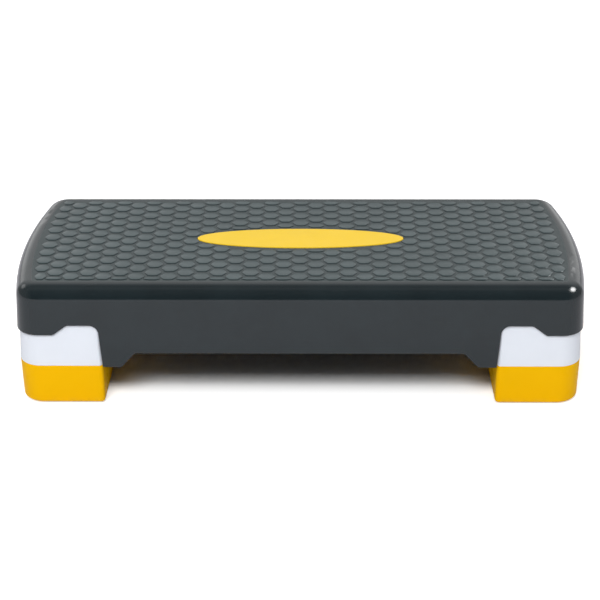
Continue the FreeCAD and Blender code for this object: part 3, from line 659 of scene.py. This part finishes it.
@dataclass
class TreadPads(Grown):
    """Raised pads of the tread, in staggered columns, cut short at the field's edge and the badge."""

    deck_top: float
    reach: float
    half_depth: float = 0.1130
    columns: int = 35
    rows: int = 13
    column_pitch: float = 0.0187
    row_pitch: float = 0.02145
    phase: float = 0.00265
    pad_length: float = 0.0206
    pad_width: float = 0.0178
    pad_height: float = 0.00095
    pad_sink: float = 0.0002
    least_length: float = 0.0080
    least_width: float = 0.0035
    oval_length: float = 0.1275
    oval_width: float = 0.0310
    oval_least: float = 0.0001
    # A pad's outline by its corners, and how the two rings of its top widen and drop.
    sides: int = 6
    side_share: float = 0.866
    corner_share: float = 0.96
    crown_growth: float = 1.62
    shoulder_growth: float = 0.95
    shoulder_height: float = 0.55
    shoulder_radius: float = 0.75

    def sizes(self) -> dict[str, float]:
        """Named inputs of the tree and their values.

        Returns:
            Sizes in metres and counts, by input name.
        """
        return {
            "Columns": self.columns,
            "Rows": self.rows,
            "Column Pitch": self.column_pitch,
            "Row Pitch": self.row_pitch,
            "Phase": self.phase,
            "Field Reach": self.reach,
            "Field Depth": self.half_depth,
            "End Bow": END_BOW,
            "Oval Length": self.oval_length,
            "Oval Width": self.oval_width,
            "Pad Length": self.pad_length,
            "Pad Width": self.pad_width,
            "Pad Height": self.pad_height,
            "Pad Sink": self.pad_sink,
            "Least Length": self.least_length,
            "Least Width": self.least_width,
            "Tread Level": self.deck_top,
        }

    def shape(self, sheet: NodeSheet, given: Sockets) -> Socket:
        """All pads as one smooth mesh.

        Args:
            sheet: The tree.
            given: Its named inputs.

        Returns:
            The pads' geometry.
        """
        points, scale = self.places(sheet, given)
        pads = sheet.add("GeometryNodeInstanceOnPoints", {
            "Points": points, "Instance": self.pad(sheet, given), "Scale": scale}).outputs[0]
        real = sheet.add("GeometryNodeRealizeInstances", {0: pads}).outputs[0]
        return sheet.add("GeometryNodeSetShadeSmooth", {"Geometry": real}).outputs[0]

    def places(self, sheet: NodeSheet, given: Sockets) -> tuple[Socket, Socket]:
        """Pad centres and sizes, without the pads that the clipping leaves too small.

        Args:
            sheet: The tree.
            given: Its named inputs.

        Returns:
            The points and each pad's scale.
        """
        calc = sheet.math
        grid, x, y = self.staggered(sheet, given)
        front, back = self.clip_rows(sheet, given, x, y)
        middle_y = sheet.half(calc("ADD", front, back))
        left, right = self.clip_ends(sheet, given, x, middle_y)
        middle_x = sheet.half(calc("ADD", left, right))
        wide = calc("SUBTRACT", right, left)
        deep = calc("SUBTRACT", back, front)
        narrow = calc("LESS_THAN", deep, given["Least Width"])
        small = calc("MAXIMUM", narrow, calc("LESS_THAN", wide, given["Least Length"]))
        share_x = calc("DIVIDE", wide, given["Pad Length"])
        share_y = calc("DIVIDE", deep, given["Pad Width"])
        sized = sheet.stored(grid, "pad_scale", sheet.vector(share_x, share_y, 1.0), "FLOAT_VECTOR")
        marked = sheet.stored(sized, "pad_small", small, "FLOAT")
        placed = sheet.moved(marked, middle_x, middle_y, given["Tread Level"])
        too_small = calc("GREATER_THAN", sheet.recalled("pad_small", "FLOAT"), 0.5)
        points = sheet.add("GeometryNodeDeleteGeometry", {
            "Geometry": placed, "Selection": too_small}, domain="POINT").outputs[0]
        return points, sheet.recalled("pad_scale", "FLOAT_VECTOR")

    def staggered(self, sheet: NodeSheet, given: Sockets) -> tuple[Socket, Socket, Socket]:
        """Grid of points, with every other column moved by half a row.

        Args:
            sheet: The tree.
            given: Its named inputs.

        Returns:
            The grid, and X and Y of each pad before clipping.
        """
        calc = sheet.math
        spans = [calc("MULTIPLY", calc("SUBTRACT", given[count], 1.0), given[pitch])
                 for count, pitch in (("Columns", "Column Pitch"), ("Rows", "Row Pitch"))]
        grid = sheet.add("GeometryNodeMeshGrid", {
            "Size X": spans[0], "Size Y": spans[1],
            "Vertices X": given["Columns"], "Vertices Y": given["Rows"]}).outputs[0]
        x, y, _ = sheet.point()
        column = calc("ROUND", calc("DIVIDE", x, given["Column Pitch"]))
        odd = calc("FLOORED_MODULO", column, 2.0)
        drop = sheet.half(calc("MULTIPLY", odd, given["Row Pitch"]))
        return grid, x, calc("SUBTRACT", calc("ADD", y, given["Phase"]), drop)

    def clip_rows(self, sheet: NodeSheet, given: Sockets, x: Socket, y: Socket) -> tuple[Socket, Socket]:
        """Front and back edge of a pad inside the field and outside the oval.

        Args:
            sheet: The tree.
            given: Its named inputs.
            x: Pad centre along X.
            y: Pad centre along Y.

        Returns:
            Front and back edge along Y.
        """
        calc = sheet.math
        half = sheet.half(given["Pad Width"])
        share = calc("DIVIDE", x, given["Oval Length"])
        under = calc("MAXIMUM", calc("SUBTRACT", 1.0, calc("MULTIPLY", share, share)), 0.0)
        edge = calc("MULTIPLY", given["Oval Width"], calc("SQRT", under))
        inside = calc("GREATER_THAN", under, self.oval_least)
        behind = calc("GREATER_THAN", y, 0.0)
        field_front = calc("MULTIPLY", given["Field Depth"], -1.0)
        front_limit = sheet.pick(calc("MULTIPLY", inside, behind), field_front, edge)
        before = calc("MULTIPLY", inside, calc("SUBTRACT", 1.0, behind))
        back_limit = sheet.pick(before, given["Field Depth"], calc("MULTIPLY", edge, -1.0))
        front = calc("MAXIMUM", calc("SUBTRACT", y, half), front_limit)
        back = calc("MINIMUM", calc("ADD", y, half), back_limit)
        return front, back

    def clip_ends(self, sheet: NodeSheet, given: Sockets, x: Socket, y: Socket) -> tuple[Socket, Socket]:
        """Left and right edge of a pad inside the bowed ends of the field.

        Args:
            sheet: The tree.
            given: Its named inputs.
            x: Pad centre along X.
            y: Middle of the clipped pad along Y.

        Returns:
            Left and right edge along X.
        """
        calc = sheet.math
        half = sheet.half(given["Pad Length"])
        reach = calc("SUBTRACT", given["Field Reach"], sheet.product(y, y, given["End Bow"]))
        left = calc("MAXIMUM", calc("SUBTRACT", x, half), calc("MULTIPLY", reach, -1.0))
        right = calc("MINIMUM", calc("ADD", x, half), reach)
        return left, right

    def pad(self, sheet: NodeSheet, given: Sockets) -> Socket:
        """One pad: a soft six-sided pillow with a flat top, closed below.

        Args:
            sheet: The tree.
            given: Its named inputs.

        Returns:
            The pad's geometry.
        """
        calc = sheet.math
        blank = sheet.cylinder(2 * self.sides, fills=2, fill_type="TRIANGLE_FAN")
        x, y, z = sheet.point()
        radius = calc("SQRT", calc("ADD", calc("MULTIPLY", x, x), calc("MULTIPLY", y, y)))
        top = calc("GREATER_THAN", z, 0.0)
        shoulder = calc("GREATER_THAN", radius, self.shoulder_radius)
        turn = calc("MULTIPLY", calc("ARCTAN2", y, x), float(self.sides))
        corner = sheet.half(calc("ADD", calc("COSINE", turn), 1.0))
        outline = sheet.pick(corner, self.side_share, self.corner_share)
        growth = sheet.pick(top, 1.0, sheet.pick(shoulder, self.crown_growth, self.shoulder_growth))
        across = calc("MULTIPLY", outline, growth)
        half_x = calc("MULTIPLY", given["Pad Length"], 0.5 / self.corner_share)
        half_y = calc("MULTIPLY", given["Pad Width"], 0.5 / self.side_share)
        height = calc("MULTIPLY", given["Pad Height"], sheet.pick(shoulder, 1.0, self.shoulder_height))
        level = sheet.pick(top, calc("MULTIPLY", given["Pad Sink"], -1.0), height)
        return sheet.moved(blank, sheet.product(x, across, half_x), sheet.product(y, across, half_y), level)

    def build(self, material: bpy.types.Material) -> None:
        """Make the pads as one plain mesh on the deck.

        Args:
            material: Finish of the pads.
        """
        piece = self.grow("tread_pads", material)
        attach(piece, Body.DECK.value)


@dataclass
class LegScrews(Grown):
    """Pan head screws with a cross recess, driven up through the leg roofs into the deck."""

    low: float
    high: float
    places: tuple[Span, ...] = ((0.3100, 0.1150), (0.2437, 0.0390))
    head_radius: float = 0.0040
    head_height: float = 0.0026
    shank_radius: float = 0.00165
    shank_sink: float = 0.0005
    thread_pitch: float = 0.0013
    recess_length: float = 0.0046
    recess_width: float = 0.0010
    recess_depth: float = 0.0013
    # Shares of a radius, and places along a head or shank, from -0.5 at its foot to 0.5 at its top.
    dome_share: float = 0.72
    dome_end: float = 0.1
    tip_share: float = 0.15
    tip_start: float = 0.36
    thread_shares: Span = (0.78, 0.99)
    root_width: float = 0.2
    arm_end: float = 0.85
    head_sides: int = 24
    head_rings: int = 4
    shank_sides: int = 10
    shank_rings: int = 30
    arm_corners: int = 12
    crease_angle: float = 0.6

    def sizes(self) -> dict[str, float]:
        """Named inputs of the tree and their values.

        Returns:
            Sizes in metres, by input name.
        """
        return {
            "Head Radius": self.head_radius,
            "Head Height": self.head_height,
            "Shank Radius": self.shank_radius,
            "Shank Length": self.high - self.low - self.head_height + self.shank_sink,
            "Shank Sink": self.shank_sink,
            "Thread Pitch": self.thread_pitch,
            "Recess Length": self.recess_length,
            "Recess Width": self.recess_width,
            "Recess Depth": self.recess_depth,
        }

    def shape(self, sheet: NodeSheet, given: Sockets) -> Socket:
        """One screw on each seed point, with its head below and its edges creased.

        Args:
            sheet: The tree.
            given: Its named inputs.

        Returns:
            The screws' geometry.
        """
        screw = sheet.add("GeometryNodeJoinGeometry")
        for part in (self.head(sheet, given), self.shank(sheet, given)):
            sheet.feed(screw.inputs[0], part)
        screws = sheet.add("GeometryNodeInstanceOnPoints", {
            "Points": given["Geometry"], "Instance": screw.outputs[0]}).outputs[0]
        real = sheet.add("GeometryNodeRealizeInstances", {0: screws}).outputs[0]
        bend = sheet.add("GeometryNodeInputMeshEdgeAngle").outputs["Unsigned Angle"]
        sharp = sheet.math("GREATER_THAN", bend, self.crease_angle)
        smooth = sheet.add("GeometryNodeSetShadeSmooth", {"Geometry": real}).outputs[0]
        return sheet.add("GeometryNodeSetShadeSmooth", {
            "Geometry": smooth, "Selection": sharp, "Shade Smooth": False}, domain="EDGE").outputs[0]

    def head(self, sheet: NodeSheet, given: Sockets) -> Socket:
        """Rounded head that hangs below its seat, with a cross recess cut into it.

        Args:
            sheet: The tree.
            given: Its named inputs.

        Returns:
            The head's geometry.
        """
        blank = sheet.cylinder(self.head_sides, self.head_rings, fills=2)
        x, y, z = sheet.point()
        share = sheet.ramp(z, -0.5, self.dome_end, self.dome_share, 1.0)
        radius = sheet.math("MULTIPLY", share, given["Head Radius"])
        level = sheet.math("MULTIPLY", sheet.math("SUBTRACT", z, 0.5), given["Head Height"])
        dome = sheet.moved(blank, sheet.product(x, radius), sheet.product(y, radius), level)
        cut = sheet.add("GeometryNodeMeshBoolean", {"Mesh 1": dome}, operation="DIFFERENCE")
        sheet.feed(cut.inputs["Mesh 2"], self.recess(sheet, given))
        return cut.outputs[0]

    def recess(self, sheet: NodeSheet, given: Sockets) -> Socket:
        """Cross-shaped prism around the head's lower face: a twelve-sided one with its corners moved.

        Args:
            sheet: The tree.
            given: Its named inputs.

        Returns:
            The prism's geometry.
        """
        calc = sheet.math
        half_step = (0.0, 0.0, math.pi / self.arm_corners)
        turned = sheet.add("GeometryNodeTransform", {
            "Geometry": sheet.cylinder(self.arm_corners), "Rotation": half_step}).outputs[0]
        x, y, z = sheet.point()
        sides = []
        for along in (x, y):
            end = calc("GREATER_THAN", calc("ABSOLUTE", along), self.arm_end)
            size = sheet.pick(end, given["Recess Width"], given["Recess Length"])
            sides.append(sheet.half(calc("MULTIPLY", calc("SIGN", along), size)))
        depth = sheet.product(z, 2.0, given["Recess Depth"])
        return sheet.moved(turned, sides[0], sides[1], calc("SUBTRACT", depth, given["Head Height"]))

    def shank(self, sheet: NodeSheet, given: Sockets) -> Socket:
        """Shank with rings of thread and a point, let into the head.

        Args:
            sheet: The tree.
            given: Its named inputs.

        Returns:
            The shank's geometry.
        """
        calc = sheet.math
        blank = sheet.cylinder(self.shank_sides, self.shank_rings)
        x, y, z = sheet.point()
        level = calc("MULTIPLY", calc("ADD", z, 0.5), given["Shank Length"])
        half_pitch = sheet.half(given["Thread Pitch"])
        crest = calc("DIVIDE", calc("PINGPONG", level, half_pitch), half_pitch)
        thread = sheet.ramp(crest, self.root_width, 1.0, *self.thread_shares)
        point = sheet.ramp(z, self.tip_start, 0.5, 1.0, self.tip_share)
        radius = sheet.product(thread, point, given["Shank Radius"])
        sunk = calc("SUBTRACT", level, given["Shank Sink"])
        return sheet.moved(blank, sheet.product(x, radius), sheet.product(y, radius), sunk)

    def build(self, material: bpy.types.Material) -> None:
        """Make the eight screws as one plain mesh in place of their node.

        Args:
            material: Finish of the screws.
        """
        seat = self.low + self.head_height
        seeds = tuple((x * side_x, y * side_y, seat) for x, y in self.places
                      for side_x in (-1, 1) for side_y in (-1, 1))
        piece = self.grow("leg_screw_set", material, seeds)
        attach(piece, Body.DECK.value)
        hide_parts("leg_screws")


@dataclass
class Deck:
    """Moulded deck with its tread pads and oval badge."""

    rim_width: float = 0.0275
    finish: DeckPlastic = DeckPlastic(
        "deck_plastic", tone=(0.0105, 0.0172, 0.0200), roughness=0.13,
        drift=0.10, scuff=0.12, scuff_tone=(0.07, 0.08, 0.085))
    pad_finish: TreadPlastic = TreadPlastic(
        "tread_plastic", tone=(0.0572, 0.0785, 0.0826), roughness=0.36,
        drift=0.10, scuff=0.30, scuff_tone=(0.105, 0.126, 0.132))
    badge_finish: MouldedPlastic = MouldedPlastic(
        "badge_plastic", tone=(0.845, 0.566, 0.031), roughness=0.33,
        drift=0.02, scuff=0.04, scuff_tone=(0.95, 0.66, 0.16), shine=0.22)

    def build(self, nodes: dict[str, bpy.types.Object]) -> None:
        """Dress the deck and badge, and lay the tread pads.

        Args:
            nodes: CAD objects by node name.
        """
        dress_node(nodes["deck_shell"], self.finish.build())
        dress_node(nodes["badge_plate"], self.badge_finish.build())
        _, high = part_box("deck_shell")
        TreadPads(deck_top=high.z, reach=high.x - self.rim_width).build(self.pad_finish.build())


@dataclass
class Legs:
    """Four white legs with their screws and rubber pads."""

    finish: MouldedPlastic = MouldedPlastic(
        "leg_plastic", tone=(0.765, 0.804, 0.880), roughness=0.34,
        drift=0.012, scuff=0.05, scuff_tone=(0.62, 0.63, 0.66))

    def build(self, nodes: dict[str, bpy.types.Object], rubber: bpy.types.Material) -> None:
        """Dress the legs, their pads and the screws.

        Args:
            nodes: CAD objects by node name.
            rubber: Finish of the pads.
        """
        plastic = self.finish.build()
        for corner in Corner:
            dress_node(nodes["leg_" + corner.value], plastic)
            dress_node(nodes["leg_pads_" + corner.value], rubber)
        low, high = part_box("leg_screws")
        LegScrews(low=low.z, high=high.z).build(ScrewSteel("screw_steel").build())


@dataclass
class Risers:
    """Four yellow risers with their rubber pads."""

    finish: FootPlastic = FootPlastic(
        "riser_plastic", tone=(0.897, 0.486, 0.001), roughness=0.30,
        drift=0.010, scuff=0.05, scuff_tone=(0.92, 0.60, 0.12), shine=0.03)

    def build(self, nodes: dict[str, bpy.types.Object], rubber: bpy.types.Material) -> None:
        """Dress the risers and their pads.

        Args:
            nodes: CAD objects by node name.
            rubber: Finish of the pads.
        """
        plastic = self.finish.build()
        for corner in Corner:
            dress_node(nodes["riser_" + corner.value], plastic)
            dress_node(nodes["riser_pads_" + corner.value], rubber)


def direction(azimuth: float, elevation: float) -> Vector:
    """Unit vector at an azimuth from the front, towards the right, and an elevation, in degrees."""
    turn, lift = math.radians(azimuth), math.radians(elevation)
    return Vector((math.sin(turn) * math.cos(lift), -math.cos(turn) * math.cos(lift), math.sin(lift)))


@dataclass(frozen=True)
class Softbox:
    """A soft lamp that faces a point, and lights the object or is only mirrored in it."""

    name: str
    role: LampRole
    azimuth: float
    elevation: float
    distance: float
    width: float
    height: float
    power: float
    aim: Triple = (0.0, 0.0, 0.075)
    spread: float = 180.0

    def hang(self) -> None:
        """Hang the lamp and turn it to its aim."""
        lamp = bpy.data.lights.new(self.name, "AREA")
        lamp.shape = "RECTANGLE"
        lamp.size = self.width
        lamp.size_y = self.height
        lamp.energy = self.power
        lamp.spread = math.radians(self.spread)
        holder = bpy.data.objects.new(self.name, lamp)
        bpy.context.scene.collection.objects.link(holder)
        way = direction(self.azimuth, self.elevation)
        holder.location = Vector(self.aim) + way * self.distance
        holder.rotation_mode = "QUATERNION"
        holder.rotation_quaternion = (-way).to_track_quat("-Z", "Y")
        holder.visible_camera = False
        holder.visible_diffuse = self.role is LampRole.LIGHTS
        holder.visible_glossy = self.role is LampRole.MIRRORED


@dataclass
class Studio:
    """White paper floor, soft tent light and the camera of the photograph."""

    elevation: float = 26.889
    azimuth: float = 0.741
    roll: float = -0.280
    distance: float = 1.7798
    target: Triple = (0.0, 0.0, 0.075)
    shift_right: float = 0.741
    shift_up: float = 6.641
    focus: float = 1448.84
    frame: float = 600.0
    sensor: float = 36.0
    floor_size: float = 14.0
    floor_drop: float = 0.0004
    lamps: tuple[Softbox, ...] = (
        Softbox("front_box", LampRole.LIGHTS, azimuth=-10.0, elevation=47.0, distance=2.4,
                width=1.2, height=0.6, power=34.0),
        Softbox("back_box", LampRole.LIGHTS, azimuth=180.0, elevation=38.0, distance=2.4,
                width=1.4, height=0.35, power=10.0),
        Softbox("right_box", LampRole.MIRRORED, azimuth=87.0, elevation=47.5, distance=0.40,
                width=0.270, height=0.174, power=0.18, aim=(0.330, -0.130, 0.140), spread=40.0),
        Softbox("left_box", LampRole.MIRRORED, azimuth=-109.0, elevation=28.0, distance=1.8,
                width=0.55, height=0.55, power=1.5),
    )
    dome_heights: Span = (0.42, 0.75)
    dome_levels: Span = (0.06, 0.92)
    # Place over the object, from 0 at the front to 1 at the back, and level there.
    mirrored_tent: tuple[Span, ...] = (
        (0.0, 0.04), (0.14, 0.07), (0.32, 0.11), (0.39, 0.22), (0.45, 0.42), (0.53, 0.25), (0.62, 0.40),
        (0.72, 1.02), (0.86, 1.00), (0.93, 0.32), (0.97, 0.20))
    mirrored_wings: float = 1.40
    wings_over: Span = (0.86, 0.93)
    wings_beside: Span = (0.12, 0.32)
    mirrored_sides: float = 0.35
    sides_beside: Span = (0.45, 0.9)

    def build(self) -> None:
        """Make the floor, the light and the camera."""
        self.lay_floor()
        self.hang_tent()
        for lamp in self.lamps:
            lamp.hang()
        self.set_camera()
        bpy.context.scene.view_settings.view_transform = "Standard"

    def lay_floor(self) -> None:
        """Lay the floor a hair below the feet, so that no face of the object lies in it."""
        half = self.floor_size / 2
        mesh = bpy.data.meshes.new("floor")
        corners = [(x * half, y * half, -self.floor_drop) for x, y in ((-1, -1), (1, -1), (1, 1), (-1, 1))]
        mesh.from_pydata(corners, [], [(0, 1, 2, 3)])
        mesh.materials.append(FloorPaper("floor_paper").build())
        floor = bpy.data.objects.new("floor", mesh)
        bpy.context.scene.collection.objects.link(floor)

    def hang_tent(self) -> None:
        """Light the object from a white tent, which is seen as panels where it is mirrored."""
        world = bpy.data.worlds.new("tent")
        bpy.context.scene.world = world
        world.use_nodes = True
        sheet = NodeSheet(world.node_tree)
        background = world.node_tree.nodes["Background"]
        background.inputs["Color"].default_value = WHITE
        path = sheet.add("ShaderNodeLightPath").outputs
        x, y, z = sheet.parts(sheet.add("ShaderNodeTexCoord").outputs["Generated"])
        dome = sheet.ramp(z, *self.dome_heights, *self.dome_levels)
        level = sheet.pick(path["Is Glossy Ray"], dome, self.mirrored(sheet, x, y, z))
        sheet.feed(background.inputs["Strength"], sheet.pick(path["Is Camera Ray"], level, 1.0))

    def mirrored(self, sheet: NodeSheet, x: Socket, y: Socket, z: Socket) -> Socket:
        """Level of the tent in a mirror: panels from front to back, wings behind and dim sides.

        Args:
            sheet: Node tree of the world.
            x: Direction to the right.
            y: Direction to the back.
            z: Direction up.

        Returns:
            The level's socket.
        """
        turn = sheet.math("ARCTAN2", z, sheet.math("MULTIPLY", y, -1.0))
        over = sheet.math("DIVIDE", turn, math.pi)
        panels = sheet.add("ShaderNodeValToRGB", {0: over})
        stops = panels.color_ramp.elements
        while len(stops) < len(self.mirrored_tent):
            stops.new(0.5)
        for stop, (place, level) in zip(stops, self.mirrored_tent):
            stop.position = place
            stop.color = (level, level, level, 1.0)
        beside = sheet.math("ABSOLUTE", x)
        wings = sheet.math("MULTIPLY", sheet.ramp(over, *self.wings_over),
                           sheet.ramp(beside, *self.wings_beside))
        back = sheet.pick(wings, panels.outputs[0], self.mirrored_wings)
        return sheet.pick(sheet.ramp(beside, *self.sides_beside), back, self.mirrored_sides)

    def set_camera(self) -> None:
        """Place the camera of the photograph."""
        target = Vector(self.target)
        back = direction(self.azimuth, self.elevation)
        right = Vector((-back.y, back.x, 0.0)).normalized()
        up = back.cross(right)
        reach = self.distance / self.focus
        aim = target - right * self.shift_right * reach - up * self.shift_up * reach
        camera = bpy.data.objects.new("camera", bpy.data.cameras.new("camera"))
        bpy.context.scene.collection.objects.link(camera)
        camera.data.sensor_width = self.sensor
        camera.data.lens = self.focus / self.frame * self.sensor
        camera.location = target + back * self.distance
        camera.rotation_mode = "QUATERNION"
        look = (aim - camera.location).to_track_quat("-Z", "Y")
        camera.rotation_quaternion = look @ Quaternion((0.0, 0.0, 1.0), math.radians(self.roll))
        bpy.context.scene.camera = camera


def main() -> None:
    """Load the frame, dress the step platform and light it."""
    logging.basicConfig(level=logging.INFO, format="%(message)s")
    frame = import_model()
    nodes = frame["nodes"]
    rubber = PadRubber("pad_rubber").build()
    Deck().build(nodes)
    Legs().build(nodes, rubber)
    Risers().build(nodes, rubber)
    Studio().build()


if __name__ == "__main__":
    main()
